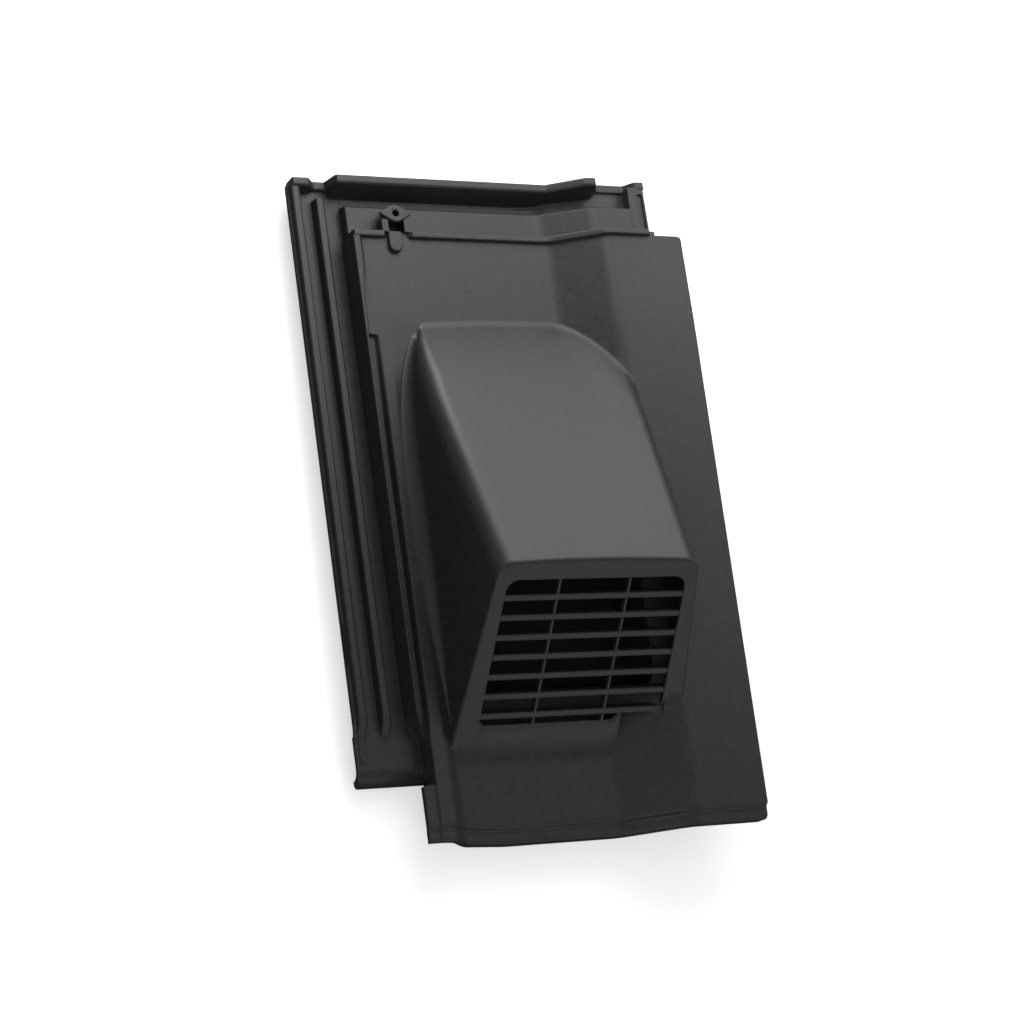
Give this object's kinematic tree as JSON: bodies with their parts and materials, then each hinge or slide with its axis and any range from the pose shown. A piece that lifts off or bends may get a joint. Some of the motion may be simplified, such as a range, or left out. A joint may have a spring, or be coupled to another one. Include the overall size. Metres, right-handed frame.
{
  "type": "roof vent tile",
  "caption": "Black plastic flat-pan roof tile with side-lap gutters, a raised roll, a fixing boss and a hooded, louvred air outlet, moulded in one.",
  "frame": {"origin": "centre of the plan, on the plane of the collar rim and the nibs that the tile lies on", "axes": "+X across the roof towards the roll, +Y up the slope towards the head, +Z away from the roof"},
  "size_m": [0.2938, 0.4788, 0.1151],
  "materials": {
    "black_polypropylene": "fine-grained matt"
  },
  "bodies": {
    "root": {"vent_tile": "black_polypropylene"}
  },
  "joints": []
}
